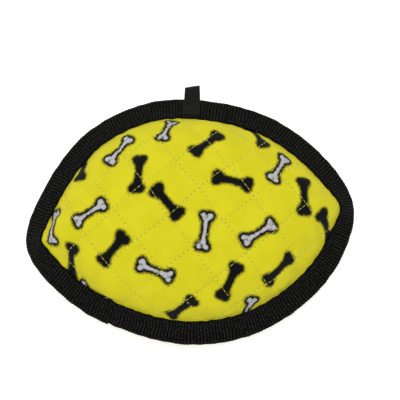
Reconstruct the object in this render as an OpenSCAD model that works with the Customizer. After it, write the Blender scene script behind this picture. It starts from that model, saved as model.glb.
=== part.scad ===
// Quilted toss toy in the shape of a lens. Two quilted fleece panels are sewn together round a fibre filling.
// The rim is bound with folded webbing, a ribbon loop is sewn over it, and a squeaker sits in a cloth pocket.
// Origin: centre of the small flat on the back that the toy rests on. +X is the long axis, +Y is towards the
// ribbon loop and +Z points out of the front panel.

/* [Body] */
// Length over the binding, tip to tip
body_length = 254; // [240:1:270]
// Width over the binding, across the middle
body_width = 190; // [180:1:200]
// Height of each panel's dome from the seam
dome_height = 38; // [35:0.5:41]
// Depth of the flat where the back settles on a floor
flat_depth = 1.5; // [1:0.25:2.5]
// Fullness of the dome: a higher number is flatter on top
dome_fullness = 2.4; // [2.1:0.1:3]
// Steepness at the rim: a lower number is steeper
dome_edge = 0.65; // [0.55:0.05:0.8]

/* [Panel layers] */
// Thickness of the fleece
fleece_thick = 1.2; // [0.8:0.1:1.4]
// Thickness of the wadding quilted behind the fleece
padding_thick = 4; // [3:0.5:5]
// Thickness of the woven backing
backing_thick = 0.6; // [0.4:0.1:0.8]
// Half the thickness of the stack pressed flat inside the binding
flange_half = 1.5; // [1.3:0.1:1.8]

/* [Binding] */
// Width of each face of the folded webbing
binding_face = 19; // [17:0.5:21]
// Thickness of the webbing
webbing_thick = 1.2; // [1:0.1:1.5]
// How far the rim turns down along the sides, in degrees
side_cant = 28; // [20:1:34]
// How far the rim turns down at the two tips, in degrees
tip_cant = 46; // [36:1:50]

/* [Thread] */
// Diameter of the quilting thread
quilt_thread_d = 0.5; // [0.4:0.05:0.6]
// Diameter of the thread through the binding
binding_thread_d = 0.5; // [0.4:0.05:0.6]
// Distance between the quilting rows
quilt_pitch = 30; // [28:1:34]
// Direction of the rising rows, in degrees from the long axis
quilt_rise = 33; // [28:1:38]
// Direction of the falling rows
quilt_fall = -60; // [-65:1:-55]
// Distance of the nearest rising row from the centre
rise_shift = 9; // [5:1:12]
// Distance of the nearest falling row beyond the centre
fall_shift = 17; // [12:1:18]

/* [Hang loop] */
// Width of the ribbon
ribbon_width = 12.5; // [10:0.5:15]
// Thickness of the ribbon
ribbon_thick = 0.8; // [0.6:0.1:1]
// How far the loop stands out past the rim
loop_reach = 12; // [11:0.5:15]
// Length of ribbon sewn down on each face of the binding
leg_length = 11; // [9:0.5:12]
// Upward tilt of the loop from the plane of the binding, in degrees
loop_lift = 18; // [12:1:20]

/* [Squeaker] */
// Outer diameter of the squeaker
squeaker_d = 36; // [32:1:40]
// Height of the stiff base
base_height = 5; // [4:0.5:6]
// Height of the pleated wall
bellows_height = 15; // [14:0.5:16]
// Height of the cap
cap_height = 4; // [3:0.5:5]
// Number of pleats
pleats = 3; // [2:1:4]
// Thickness of the pocket's cloth
pocket_thick = 0.6; // [0.4:0.1:0.8]

/* [Hidden] */

front = 1;
back = -1;
gap = 0.05; // clearance between neighbours sewn to each other
seam_z = dome_height - flat_depth; // height of the seam above the floor

// The rim seen from above, in units of the half length and half width, counterclockwise from the right tip.
// The two tips lie a little below the middle, so the top edge is the fuller one.
rim_shape = [
    [1.00, -0.04], [0.87, 0.38], [0.58, 0.76], [0.20, 0.97], [-0.19, 1.01], [-0.58, 0.81], [-0.87, 0.38],
    [-1.00, -0.07], [-0.79, -0.52], [-0.46, -0.82], [-0.10, -0.99], [0.27, -0.98], [0.61, -0.79],
    [0.87, -0.47]
];
rim_points = [for (p = rim_shape) [p.x * body_length / 2, p.y * body_width / 2]];
steps = 4; // stations between neighbouring points
stations = len(rim_points) * steps;

// Share of the way out to the rim at which the rings of each dome lie
rings = [0.3, 0.52, 0.72, 0.88, 0.97, 1];

// Depth below the fleece, and half height in the binding, of both surfaces of each layer
fleece_out = [0, flange_half - gap];
fleece_in = [fleece_thick, 0.62 * flange_half];
padding_out = [fleece_thick + gap, 0.59 * flange_half];
padding_in = [fleece_thick + padding_thick, 0.32 * flange_half];
backing_out = [fleece_thick + padding_thick + gap, 0.29 * flange_half];
backing_in = [fleece_thick + padding_thick + backing_thick, gap];
fill_depth = fleece_thick + padding_thick + backing_thick + 2 * gap;

turn_in = 1.2; // how far the panels run on past the binding before they rise
rise_step = 0.4; // how far they have risen by then
fold_r = flange_half + gap + webbing_thick; // outer radius of the webbing's fold
fold_at = binding_face - fold_r; // distance of the fold's centre from the binding's inner edge
cut_edge = fold_at - 0.3; // where the layers are cut off inside the fold

inner_row = 2.5; // distance of each stitch row from the binding's inner edge
outer_row = fold_at - 0.5;
seam_row = 8;

loop_at = 3.28; // place of the ribbon along the rim, counted in rim points
loop_r = 3.6; // outer radius of the loop's bend
loop_start = 2; // where the free part begins, past the fold's centre
leg_end = -2.2; // where the sewn legs stop, short of the fold's centre
leg_lift = 0.15; // the legs bridge the slight curve of the binding
tack_rows = [-4.5, -11.5]; // places of the tacking stitches on the legs
tack_margin = 1; // how far they stop short of the ribbon's edges

squeaker_sink = 12; // how far the squeaker reaches below the seam
squeaker_floor = seam_z - squeaker_sink; // underside of the squeaker
base_wall = 1.4;
plate = 1.6; // thickness of the flats of the base and the cap
bellows_wall = 0.8;
pleat_depth = 2.6;
plug_r = 4.5; // the reed holder plugs the base's middle
air_r = 1.6; // radius of the air way through the holder
reed = [3.2, 6.4, 0.3];
reed_room = 0.3; // how much wider than the reed its slot is
reed_at = 2; // height of the slot in the holder
pocket_r = squeaker_d / 2 + 1; // inside radius of the pocket round the squeaker
pocket_flange_r = pocket_r + 7; // radius of the pocket's sewn rim
pocket_room = 0.6; // clearance above and below the squeaker
squeaker_height = base_height + bellows_height + cap_height;
pocket_top = squeaker_floor + squeaker_height + pocket_room - seam_z; // inside height above the seam
pocket_bottom = squeaker_sink + pocket_room; // inside depth below the seam
pocket_seam_inset = 2.5; // distance of the pocket's stitching from its edge

// ---- the rim and the domes -------------------------------------------------------------------------------

function wrap(i) = (i + len(rim_points)) % len(rim_points);

// Point on the smooth closed curve through the rim points; t counts points round the rim
function rim(t) =
    let (i = floor(t), u = t - i)
    let (a = rim_points[wrap(i - 1)], b = rim_points[wrap(i)])
    let (c = rim_points[wrap(i + 1)], d = rim_points[wrap(i + 2)])
    0.5 * (2 * b + (c - a) * u + (2 * a - 5 * b + 4 * c - d) * u * u + (3 * b - a - 3 * c + d) * u * u * u);

function unit(v) = v / norm(v);
function outward(t) = let (d = unit(rim(t + 0.02) - rim(t - 0.02 + len(rim_points)))) [d.y, -d.x];
function cant(t) = side_cant + (tip_cant - side_cant) * pow(abs(outward(t).x), 8);

// Point in the rim's cross-section: along runs outwards from the binding's inner edge, up is square to it
function rim_section(t, along, up) =
    let (n = outward(t), c = cant(t), inner = rim(t) - n * binding_face * cos(c))
    let (reach = along * cos(c) + up * sin(c))
    [inner.x + n.x * reach, inner.y + n.y * reach, seam_z - along * sin(c) + up * cos(c)];

function dome(share) = pow(1 - pow(share, dome_fullness), dome_edge);

// Point on a panel's surface, share of the way from the centre to where the panel meets the rim
function panel_point(t, share, side, depth, half) =
    let (n = outward(t), c = cant(t))
    let (foot = rim(t) - n * (binding_face * cos(c) - side * half * sin(c) + turn_in + depth))
    let (low = half * cos(c) + rise_step)
    let (rise = min(low + (dome_height - depth - low) * dome(share), seam_z - depth))
    [foot.x * share, foot.y * share, seam_z + side * rise];

function ring_of(f) = [for (i = [0:stations - 1]) f(i / steps)];

function panel_rings(side, level) = [
    [[0, 0, seam_z + side * min(dome_height - level[0], seam_z - level[0])]],
    for (share = rings) ring_of(function (t) panel_point(t, share, side, level[0], level[1])),
    ring_of(function (t) rim_section(t, 0, side * level[1])),
    ring_of(function (t) rim_section(t, cut_edge, side * level[1]))
];

function reversed(list) = [for (i = [len(list) - 1:-1:0]) list[i]];
function joined(lists) = [for (l = lists) each l];

// Triangles between two neighbouring rings of points, either of which may be a single point. Where four
// points don't lie in a plane, flipped says which way they are split, so touching layers are split alike.
function between(a, na, b, nb, flipped) =
    let (n = max(na, nb))
    [for (i = [0:n - 1])
        let (j = (i + 1) % n)
        each (na == 1 ? [[a, b + j, b + i]]
            : nb == 1 ? [[a + i, a + j, b]]
            : flipped ? [[a + i, a + j, b + j], [a + i, b + j, b + i]]
            : [[a + i, a + j, b + i], [a + j, b + j, b + i]])];

// Closed solid through a stack of rings whose first and last are single points. The first rings run outwards
// over the outer surface, and the others back over the inner one. The two panels meet along the first inner
// band of their innermost layer, which is split alike on both.
module skin(stack, side, innermost = false) {
    outer = len(rings) + 2;
    sizes = [for (r = stack) len(r)];
    starts = [for (k = 0, s = 0; k < len(sizes); s = s + sizes[k], k = k + 1) s];
    faces = joined([for (k = [0:len(stack) - 2])
        let (flipped = innermost && k == outer + 1 || (side == front) == (k > outer))
        between(starts[k], sizes[k], starts[k + 1], sizes[k + 1], flipped)]);
    polyhedron(joined(stack), side == front ? faces : [for (f = faces) reversed(f)]);
}

// Closed loop of cross-sections, each with the same number of points
module loop_sweep(sections) {
    n = len(sections[0]);
    total = len(sections) * n;
    faces = [for (k = [0:len(sections) - 1]) for (i = [0:n - 1])
        let (a = k * n + i, b = k * n + (i + 1) % n, c = (a + n) % total, d = (b + n) % total)
        each [[a, b, c], [b, d, c]]];
    polyhedron(joined(sections), faces);
}

// Solid swept along an open run of cross-sections, closed at both ends
module run_sweep(sections) {
    n = len(sections[0]);
    last = (len(sections) - 1) * n;
    sides = [for (k = [0:len(sections) - 2]) for (i = [0:n - 1])
        let (a = k * n + i, b = k * n + (i + 1) % n)
        each [[a, b, a + n], [b, b + n, a + n]]];
    polyhedron(joined(sections), concat(sides, [[for (i = [n - 1:-1:0]) i], [for (i = [0:n - 1]) last + i]]));
}

// One quilted layer between two levels of a panel
module layer(side, outer, inner) {
    skin(concat(panel_rings(side, outer), reversed(panel_rings(side, inner))), side, inner == backing_in);
}

module front_fleece() {
    color("gold") layer(front, fleece_out, fleece_in);
}

module front_padding() {
    color("white") layer(front, padding_out, padding_in);
}

module front_backing() {
    color("gainsboro") layer(front, backing_out, backing_in);
}

module back_fleece() {
    color("gold") layer(back, fleece_out, fleece_in);
}

module back_padding() {
    color("white") layer(back, padding_out, padding_in);
}

module back_backing() {
    color("gainsboro") layer(back, backing_out, backing_in);
}

// ---- stitching -------------------------------------------------------------------------------------------

function flat_cross(a, b) = a.x * b.y - a.y * b.x;
foot_ring = ring_of(function (t) let (p = panel_point(t, 1, front, 0, flange_half)) [p.x, p.y]);

// Distance from a point to the foot of the dome, going in a direction
function way_out(p, d) = max([for (i = [0:stations - 1])
    let (a = foot_ring[i], edge = foot_ring[(i + 1) % stations] - a, det = flat_cross(d, edge))
    let (s = abs(det) < 0.001 ? -1 : flat_cross(a - p, edge) / det)
    let (u = abs(det) < 0.001 ? -1 : flat_cross(a - p, d) / det)
    u >= 0 && u <= 1 ? s : 0]);

// Height of the fleece above the seam over any point of the panel
function fleece_rise(p) =
    let (share = norm(p) < 0.01 ? 0 : norm(p) / way_out([0, 0], unit(p)))
    let (low = flange_half + rise_step)
    min(low + (dome_height - low) * dome(min(share, 1)), seam_z);

quilt_samples = 9; // points along each half row
thread_lift = 0.25; // keeps the straight stretches of a row clear of the curved fleece
quilt_margin = 0.92; // share of the way to the rim at which a row goes in under the binding
flat_share = 0.45; // the back rows stop here, where the toy rests on its fleece

// Where a row leaves the oval of the resting flat, or its middle if it misses the flat
function flat_exit(p, d) =
    let (a = flat_share * way_out([0, 0], [1, 0]), b = flat_share * way_out([0, 0], [0, 1]))
    let (q = [p.x / a, p.y / b], e = [d.x / a, d.y / b])
    let (disc = pow(q * e, 2) - (e * e) * (q * q - 1))
    disc <= 0 ? 0 : max(0, (-(q * e) + sqrt(disc)) / (e * e));

// Half of one quilting row: starts near the middle of the row and runs to the rim on the fleece
module half_row(side, middle, d, lift) {
    start = side == back ? flat_exit(middle, d) : 0;
    end = way_out(middle, d) * quilt_margin;
    r = quilt_thread_d / 2;
    across = [-d.y, d.x];
    points = [for (k = [0:quilt_samples]) middle + d * (start + (end - start) * k / quilt_samples)];
    sections = [for (p = points)
        let (z = seam_z + side * (fleece_rise(p) + r + lift))
        [for (corner = [[-1, 0], [0, -1], [1, 0], [0, 1]])
            [p.x + across.x * corner.x * r, p.y + across.y * corner.x * r, z + corner.y * r]]];
    run_sweep(sections);
}

module quilting(side) {
    rows = [
        [quilt_rise, rise_shift, [-3:2], thread_lift],
        [quilt_fall, fall_shift, [-3:2], thread_lift + gap + quilt_thread_d]
    ];
    for (family = rows, k = family[2]) {
        d = [cos(family[0]), sin(family[0])];
        middle = [-d.y, d.x] * (family[1] + k * quilt_pitch);
        half_row(side, middle, d, family[3]);
        half_row(side, middle, -d, family[3]);
    }
}

module front_quilting_thread() {
    color("lightyellow") quilting(front);
}

module back_quilting_thread() {
    color("lightyellow") quilting(back);
}

// Ring of thread all round the rim, square in section
function thread_ring(along, up, r) = [for (i = [0:stations - 1])
    [for (corner = [[1, 0], [0, 1], [-1, 0], [0, -1]])
        rim_section(i / steps, along + corner.x * r, up + corner.y * r)]];

// One row of stitches through the binding shows on both of its faces
module binding_row(along) {
    r = binding_thread_d / 2;
    for (side = [front, back]) loop_sweep(thread_ring(along, side * (fold_r + r + gap), r));
}

module panel_seam_stitching() {
    color("white") loop_sweep(thread_ring(seam_row, 0, binding_thread_d / 2));
}

module binding_inner_stitching() {
    color([0.1, 0.1, 0.1]) binding_row(inner_row);
}

module binding_outer_stitching() {
    color([0.1, 0.1, 0.1]) binding_row(outer_row);
}

// ---- binding and hang loop -------------------------------------------------------------------------------

function fold_arc(r, angles) = [for (a = angles) [fold_at + r * cos(a), r * sin(a)]];

module edge_binding() {
    inside_r = fold_r - webbing_thick;
    profile = concat(
        [[0, -fold_r]], fold_arc(fold_r, [-90, -45, 0, 45, 90]), [[0, fold_r]],
        [[0, inside_r]], fold_arc(inside_r, [90, 0, -90]), [[0, -inside_r]]
    );
    sections = [for (i = [0:stations - 1]) [for (p = profile) rim_section(i / steps, p.x, p.y)]];
    color([0.08, 0.08, 0.08]) loop_sweep(sections);
}

// Puts a shape drawn in the rim's cross-section on the rim where the ribbon is sewn, spread along the rim by
// its width; x runs outwards from the fold's centre and y is square to the binding
module on_rim(width, lift) {
    n = outward(loop_at);
    centre = rim_section(loop_at, fold_at, 0);
    translate(centre) rotate([0, 0, atan2(n.y, n.x)]) rotate([90, cant(loop_at) - lift, 0])
        translate([0, 0, -width / 2]) linear_extrude(width) children();
}

// The ribbon's bend with its two free sides, open towards the rim
module loop_outline() {
    bend_at = fold_r + loop_reach - loop_r;
    inside_r = loop_r - ribbon_thick;
    for (side = [front, back])
        translate([loop_start, side > 0 ? inside_r : -loop_r]) square([bend_at - loop_start, ribbon_thick]);
    intersection() {
        translate([bend_at, 0]) difference() {
            circle(loop_r, $fn = 64);
            circle(inside_r, $fn = 64);
        }
        translate([bend_at, -loop_r]) square([loop_r, 2 * loop_r]);
    }
}

module hang_loop() {
    color([0.15, 0.15, 0.15]) on_rim(ribbon_width, loop_lift) loop_outline();
}

module hang_loop_ends() {
    low = fold_r + leg_lift;
    color([0.15, 0.15, 0.15]) on_rim(ribbon_width, 0)
        for (y = [low, -low - ribbon_thick])
            translate([leg_end - leg_length, y]) square([leg_length, ribbon_thick]);
}

// Two bars of tacking stitches across each sewn end
module hang_loop_stitching() {
    r = quilt_thread_d / 2;
    y = fold_r + leg_lift + ribbon_thick + r + gap;
    color([0.1, 0.1, 0.1]) on_rim(ribbon_width - 2 * tack_margin, 0)
        for (x = tack_rows, side = [front, back]) translate([x, side * y]) circle(r, $fn = 16);
}

// ---- filling and squeaker --------------------------------------------------------------------------------

function circle_ring(r, z) = [for (i = [0:stations - 1])
    let (p = rim(i / steps)) [p.x * r / norm(p), p.y * r / norm(p), z]];

// Half of the filling: fills a panel's dome and leaves room for the pocket at its middle
module filling(side, pocket_height) {
    parting = 3 * gap;
    cloth = pocket_thick + 3 * gap;
    over = seam_z + side * (pocket_height + cloth);
    flange_over = seam_z + side * (cloth + quilt_thread_d);
    skin(concat(
        [[[0, 0, seam_z + side * min(dome_height - fill_depth, seam_z - fill_depth)]]],
        [for (share = rings) ring_of(function (t) panel_point(t, share, side, fill_depth, 0))],
        [ring_of(function (t)
            let (p = panel_point(t, 1, side, fill_depth, 0)) [p.x, p.y, seam_z + side * parting])],
        [circle_ring(pocket_flange_r + gap, seam_z + side * parting)],
        [circle_ring(pocket_flange_r + gap, flange_over)],
        [circle_ring(pocket_r + cloth, flange_over)],
        [circle_ring(pocket_r + cloth, over)],
        [[[0, 0, over]]]
    ), side);
}

module fill_front() {
    color("whitesmoke") filling(front, pocket_top);
}

module fill_back() {
    color("whitesmoke") filling(back, pocket_bottom);
}

// Cloth cup with a flat rim, open towards the seam
module pocket_half(side, height) {
    translate([0, 0, seam_z]) mirror([0, 0, side == back ? 1 : 0]) rotate_extrude($fn = 96) polygon([
        [pocket_flange_r, gap], [pocket_flange_r, gap + pocket_thick],
        [pocket_r + pocket_thick, gap + pocket_thick], [pocket_r + pocket_thick, height + pocket_thick],
        [0, height + pocket_thick], [0, height], [pocket_r, height], [pocket_r, gap]
    ]);
}

module squeaker_pocket_front() {
    color("lightgray") pocket_half(front, pocket_top);
}

module squeaker_pocket_back() {
    color("lightgray") pocket_half(back, pocket_bottom);
}

module squeaker_pocket_stitching() {
    r = quilt_thread_d / 2;
    color("white") for (side = [front, back])
        translate([0, 0, seam_z + side * (2 * gap + pocket_thick + r)])
            rotate_extrude($fn = 96) translate([pocket_flange_r - pocket_seam_inset, 0]) circle(r, $fn = 16);
}

module squeaker_base() {
    r = squeaker_d / 2;
    boss = 1.5;
    color("aliceblue") translate([0, 0, squeaker_floor]) rotate_extrude($fn = 96) {
        translate([plug_r + gap, 0]) square([r - plug_r - gap, plate]);
        translate([r - base_wall, 0]) square([base_wall, base_height]);
        translate([plug_r + gap, 0]) square([boss, base_height]);
    }
}

// Pleated wall: the outline goes in and out once for each pleat, inside and outside a wall's thickness apart
module squeaker_bellows() {
    r = squeaker_d / 2 - 0.4;
    half = (bellows_height - 2 * gap) / (2 * pleats);
    wall = [for (k = [0:2 * pleats]) [r - (k % 2) * pleat_depth, gap + k * half]];
    inside = [for (p = reversed(wall)) [p.x - bellows_wall, p.y]];
    color("white") translate([0, 0, squeaker_floor + base_height]) rotate_extrude($fn = 96)
        polygon(concat(wall, inside));
}

module squeaker_top() {
    r = squeaker_d / 2;
    crown = 1; // height of the soft edge round the cap
    bottom = squeaker_floor + base_height + bellows_height;
    color("aliceblue") translate([0, 0, bottom]) rotate_extrude($fn = 96)
        polygon([[0, cap_height - plate], [0, cap_height], [r - crown, cap_height], [r, cap_height - crown],
            [r, 0], [r - base_wall, 0], [r - base_wall, cap_height - plate]]);
}

module squeaker_reed_holder() {
    color("lightblue") translate([0, 0, squeaker_floor]) difference() {
        cylinder(r = plug_r, h = base_height + 1, $fn = 48);
        translate([0, 0, -1]) cylinder(r = air_r, h = base_height + 3, $fn = 32);
        translate([-(reed.x + reed_room) / 2, -(reed.y + reed_room) / 2, reed_at])
            cube([reed.x + reed_room, reed.y + reed_room, base_height]);
    }
}

// Thin springy tongue in the holder's slot
module squeaker_reed() {
    color("silver") translate([-reed.x / 2, -reed.y / 2, squeaker_floor + reed_at + gap]) cube(reed);
}

front_fleece();
front_padding();
front_backing();
front_quilting_thread();
back_fleece();
back_padding();
back_backing();
back_quilting_thread();
panel_seam_stitching();
edge_binding();
binding_inner_stitching();
binding_outer_stitching();
hang_loop();
hang_loop_ends();
hang_loop_stitching();
fill_front();
fill_back();
squeaker_pocket_front();
squeaker_pocket_back();
squeaker_pocket_stitching();
squeaker_base();
squeaker_bellows();
squeaker_top();
squeaker_reed_holder();
squeaker_reed();
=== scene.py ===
"""Looks of the quilted toss toy: printed fleece, quilting, webbing binding, ribbon loop and insides."""
import math

import bmesh
import bpy
import numpy as np
from mathutils import Matrix, Vector


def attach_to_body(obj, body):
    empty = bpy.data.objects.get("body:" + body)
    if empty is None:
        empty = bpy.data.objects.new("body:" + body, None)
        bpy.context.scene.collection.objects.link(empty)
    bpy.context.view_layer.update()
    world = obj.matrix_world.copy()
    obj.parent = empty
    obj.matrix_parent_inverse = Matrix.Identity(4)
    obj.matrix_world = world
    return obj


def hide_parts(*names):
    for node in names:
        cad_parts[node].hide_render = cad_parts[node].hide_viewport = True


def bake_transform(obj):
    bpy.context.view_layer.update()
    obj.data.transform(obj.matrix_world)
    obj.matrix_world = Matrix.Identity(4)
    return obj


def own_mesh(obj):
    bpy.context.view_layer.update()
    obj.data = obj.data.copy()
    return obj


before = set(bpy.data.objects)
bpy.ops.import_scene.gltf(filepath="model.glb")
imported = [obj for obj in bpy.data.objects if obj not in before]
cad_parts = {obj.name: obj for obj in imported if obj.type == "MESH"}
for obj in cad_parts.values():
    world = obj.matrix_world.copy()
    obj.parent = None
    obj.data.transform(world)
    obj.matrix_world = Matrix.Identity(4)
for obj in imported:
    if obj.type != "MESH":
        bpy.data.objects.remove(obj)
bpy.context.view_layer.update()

# ---- driving sizes, in millimetres, as the CAD part has them -------------------------------------

MM = 0.001
LENGTH, WIDTH = 254, 190
DOME_HEIGHT, FLAT_DEPTH = 38, 1.5
DOME_FULLNESS, DOME_EDGE = 2.4, 0.65
SEAM_Z = DOME_HEIGHT - FLAT_DEPTH
FLANGE_HALF, GAP = 1.5, 0.05
# Depth below the fleece's surface, and half height in the binding, of both surfaces of each layer
FLEECE_OUT, FLEECE_IN = (0, 1.45), (1.1, 0.98)
WADDING_OUT, WADDING_IN = (1.3, 0.86), (5.1, 0.5)
BACKING_OUT, BACKING_IN = (5.3, 0.42), (5.75, 0.08)
FILL_DEPTH = 5.95
BINDING_FACE, WEBBING = 19, 1.2
SIDE_CANT, TIP_CANT = 28, 46
TURN_IN, RISE_STEP = 1.2, 0.4
FOLD_R = FLANGE_HALF + GAP + WEBBING
FOLD_AT = BINDING_FACE - FOLD_R
CUT_EDGE = FOLD_AT - 0.3
INNER_ROW, OUTER_ROW = 2.5, FOLD_AT - 0.5
FRONT, BACK = 1, -1

QUILT_PITCH = 30
# Each family of quilting rows: name, angle in degrees, how far a row lies from the middle
QUILT_ROWS = (("rise", 33, 9), ("fall", -60, 17))
STITCH_PITCH, STITCH = 4.0, 2.9

# The rim seen from above, in units of the half length and half width
RIM_SHAPE = [
    (1.00, -0.04), (0.87, 0.38), (0.58, 0.76), (0.20, 0.97), (-0.19, 1.01), (-0.58, 0.81), (-0.87, 0.38),
    (-1.00, -0.07), (-0.79, -0.52), (-0.46, -0.82), (-0.10, -0.99), (0.27, -0.98), (0.61, -0.79),
    (0.87, -0.47),
]
RIM = np.array(RIM_SHAPE) * (LENGTH / 2, WIDTH / 2)
# The printed bones: centre on the cloth from the panel's middle, turn in degrees, white or black.
# Places go by 5 mm and turns by 5 degrees. The print comes round again one repeat along the roll.
WHITE, BLACK = 1, 0
REPEAT = (125, -30)
SEEN_TWICE = [
    (-50, 60, 50, WHITE), (-75, 10, 25, WHITE),
    (-35, 35, 80, BLACK), (-15, 10, -55, BLACK), (-60, -20, 40, BLACK), (-100, -25, 60, BLACK),
]
SEEN_ONCE = [
    (-10, 75, 70, WHITE), (-110, 5, 85, WHITE), (10, -15, 75, WHITE), (-30, -40, -30, WHITE),
    (40, -85, 75, WHITE), (-90, -55, -45, WHITE),
    (20, 55, 35, BLACK), (35, 20, -20, BLACK), (-15, -75, 35, BLACK), (65, 65, -80, BLACK),
    (-85, 55, 90, BLACK),
]
COME_ROUND = [(x + REPEAT[0], y + REPEAT[1], turn, kind) for x, y, turn, kind in SEEN_TWICE]
BONES = SEEN_ONCE + SEEN_TWICE + COME_ROUND


# ---- mesh and material helpers -------------------------------------------------------------------

def mesh_piece(name, points, faces, material, attributes=None):
    """A smooth-shaded object from points in millimetres."""
    mesh = bpy.data.meshes.new(name)
    mesh.from_pydata((np.asarray(points) * MM).tolist(), [], [list(f) for f in faces])
    mesh.validate()
    mesh.polygons.foreach_set("use_smooth", [True] * len(mesh.polygons))
    for key, values in (attributes or {}).items():
        values = np.asarray(values, np.float32)
        kind = "FLOAT" if values.ndim == 1 else "FLOAT_VECTOR"
        layer = mesh.attributes.new(key, kind, "POINT")
        layer.data.foreach_set("value" if values.ndim == 1 else "vector", values.ravel())
    mesh.materials.append(material)
    piece = bpy.data.objects.new(name, mesh)
    bpy.context.scene.collection.objects.link(piece)
    return piece


def ring_faces(rows, columns, start=0, flip=False):
    """Quads between neighbouring rings of a stack, each ring closed."""
    r, c = np.meshgrid(np.arange(rows - 1), np.arange(columns), indexing="ij")
    n = (c + 1) % columns
    quads = np.stack([r * columns + c, r * columns + n, (r + 1) * columns + n, (r + 1) * columns + c], -1)
    quads = quads.reshape(-1, 4) + start
    return quads[:, ::-1] if flip else quads


def tube_faces(rows, columns, flip=False):
    """Quads of a stack of closed rings whose last ring joins its first."""
    return ring_faces(rows + 1, columns, 0, flip) % (rows * columns)


def fan_faces(pole, first, columns, flip=False):
    """Triangles from one point to a closed ring."""
    c = np.arange(columns)
    fan = np.stack([np.full(columns, pole), first + (c + 1) % columns, first + c], -1)
    return fan[:, ::-1] if flip else fan


def new_material(name):
    material = bpy.data.materials.new(name)
    material.use_nodes = True
    return material, material.node_tree, material.node_tree.nodes["Principled BSDF"]


def add(tree, kind, settings=None, **inputs):
    """A new node. Each input is a value or the socket that feeds it, named, or numbered as in i0."""
    node = tree.nodes.new(kind)
    for key, value in (settings or {}).items():
        setattr(node, key, value)
    for key, value in inputs.items():
        by_number = key[0] == "i" and key[1:].isdigit()
        socket = node.inputs[int(key[1:]) if by_number else key.replace("_", " ")]
        if isinstance(value, bpy.types.NodeSocket):
            tree.links.new(value, socket)
        else:
            socket.default_value = value
    return node


def math_node(tree, operation, a, b=0.0, c=0.0):
    return add(tree, "ShaderNodeMath", {"operation": operation}, i0=a, i1=b, i2=c).outputs[0]


def ramp(tree, value, low, high, to_low=0.0, to_high=1.0):
    """Smooth step of a value from one number to another."""
    settings = {"interpolation_type": "SMOOTHSTEP", "clamp": True}
    node = add(tree, "ShaderNodeMapRange", settings, Value=value,
               From_Min=low, From_Max=high, To_Min=to_low, To_Max=to_high)
    return node.outputs[0]


def mix(tree, factor, a, b):
    """One colour where the factor is 0 and the other where it is 1."""
    return add(tree, "ShaderNodeMix", {"data_type": "RGBA"}, i0=factor, i6=a, i7=b).outputs[2]


def attribute(tree, name, output="Fac"):
    return add(tree, "ShaderNodeAttribute", {"attribute_name": name}).outputs[output]


def noise(tree, vector, scale, detail=2.0, roughness=0.5):
    node = add(tree, "ShaderNodeTexNoise", Vector=vector, Scale=scale, Detail=detail, Roughness=roughness)
    return node.outputs[0]


def plain_settings(shader, roughness, specular=0.3, sheen=0.0):
    shader.inputs["Roughness"].default_value = roughness
    shader.inputs["Specular IOR Level"].default_value = specular
    shader.inputs["Sheen Weight"].default_value = sheen


def surface(tree, shader, colour, height, relief):
    """Gives a material its colour and fine bumps; relief is the bumps' depth in metres."""
    tree.links.new(colour, shader.inputs["Base Color"])
    bumps = add(tree, "ShaderNodeBump", Height=height, Distance=relief, Strength=1.0)
    tree.links.new(bumps.outputs[0], shader.inputs["Normal"])


# ---- materials -----------------------------------------------------------------------------------

def fleece_material():
    """Bright yellow fleece with a bone print whose edges are blurred by the fibres, and painted shade in the
    needle holes.
    """
    material, tree, shader = new_material("yellow_fleece")
    plain_settings(shader, 0.95, specular=0.08, sheen=0.05)
    cloth = attribute(tree, "cloth", "Vector")
    fibre = noise(tree, cloth, 2.4, 3.0, 0.6)
    tuft = noise(tree, cloth, 0.42, 3.0, 0.7)
    blotch = noise(tree, cloth, 0.06, 2.0)
    edge = math_node(tree, "MULTIPLY_ADD", fibre, 2.6, attribute(tree, "print_distance"))
    edge = math_node(tree, "MULTIPLY_ADD", tuft, 3.2, math_node(tree, "SUBTRACT", edge, 2.9))
    printed = ramp(tree, edge, 2.2, -0.8)
    inside = math_node(tree, "MULTIPLY", ramp(tree, edge, -1.5, -2.5), attribute(tree, "print_white"))
    yellow = mix(tree, ramp(tree, blotch, 0.35, 0.65), (0.605, 0.555, 0.010, 1), (0.655, 0.60, 0.014, 1))
    yellow = mix(tree, ramp(tree, fibre, 0.3, 0.7, 0.0, 0.3), yellow, (0.72, 0.66, 0.028, 1))
    white = mix(tree, ramp(tree, fibre, 0.3, 0.7), (0.36, 0.35, 0.36, 1), (0.58, 0.57, 0.58, 1))
    black = mix(tree, ramp(tree, fibre, 0.45, 0.75), (0.002, 0.0025, 0.003, 1), (0.008, 0.009, 0.010, 1))
    colour = mix(tree, printed, yellow, mix(tree, inside, black, white))
    near_hole = 1.0
    for row in ("rise", "fall"):
        stitch = math_node(tree, "DIVIDE", attribute(tree, row + "_along"), STITCH_PITCH)
        phase = math_node(tree, "FRACT", stitch)
        phase = math_node(tree, "MULTIPLY", math_node(tree, "SUBTRACT", phase, 0.5), STITCH_PITCH)
        span = add(tree, "ShaderNodeCombineXYZ", X=phase, Y=attribute(tree, row + "_away"))
        length = add(tree, "ShaderNodeVectorMath", {"operation": "LENGTH"}, i0=span.outputs[0])
        near_hole = math_node(tree, "MINIMUM", near_hole, length.outputs["Value"])
    # Needle holes darken the fleece towards a deep yellow: painted shade in the holes; the same mask also
    # sinks the bumps there
    hole = ramp(tree, near_hole, 0.62, 0.3, 0.0, 0.8)
    colour = mix(tree, hole, colour, (0.26, 0.20, 0.012, 1))
    crease = math_node(tree, "MINIMUM", attribute(tree, "rise_away"), attribute(tree, "fall_away"))
    dip = math_node(tree, "MULTIPLY", hole, -0.5)
    height = math_node(tree, "MULTIPLY_ADD", ramp(tree, crease, 0.0, 1.3), 0.4, dip)
    height = math_node(tree, "MULTIPLY_ADD", fibre, 0.9, height)
    height = math_node(tree, "MULTIPLY_ADD", tuft, 0.7, height)
    surface(tree, shader, colour, height, 0.0004)
    return material


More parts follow.
